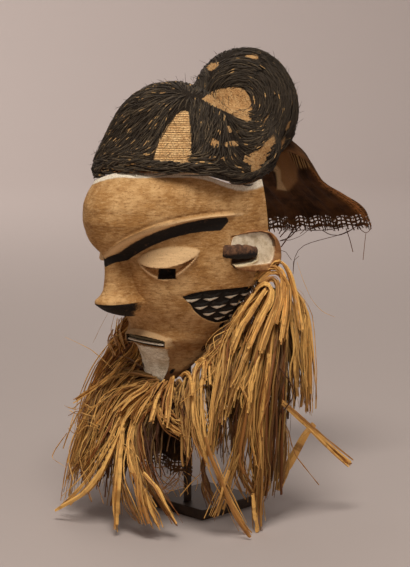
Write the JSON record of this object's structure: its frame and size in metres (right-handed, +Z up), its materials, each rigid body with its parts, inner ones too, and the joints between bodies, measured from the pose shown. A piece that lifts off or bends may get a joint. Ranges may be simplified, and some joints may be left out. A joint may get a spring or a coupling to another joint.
{
  "type": "carved face mask on a stand",
  "caption": "Carved wooden face mask with lowered lids, scarified cheeks, a two-rolled raffia hair cap, hanging neck cloth and full raffia beard, held on a plate-and-rod stand.",
  "frame": {"origin": "centre of the base plate's underside", "axes": "+Z up, -Y the way the face looks, +X towards the face's own left ear"},
  "size_m": [0.2704, 0.41, 0.5239],
  "materials": {
    "wood": "worn ochre and dark earth patina, white clay at ear and chin",
    "dyed_raffia": "blackened raffia tufts over a woven ground",
    "raffia_cloth": "coarse plain weave, frayed hem",
    "raffia": "dry fibre strips",
    "dark_steel": "black-brown, satin"
  },
  "bodies": {
    "root": {"carved_face": "wood", "raffia_cap": "dyed_raffia", "neck_cloth": "raffia_cloth", "inner_cloth": "raffia_cloth", "raffia_beard": "raffia", "base_plate": "dark_steel", "stand_rod": "dark_steel"}
  },
  "joints": []
}
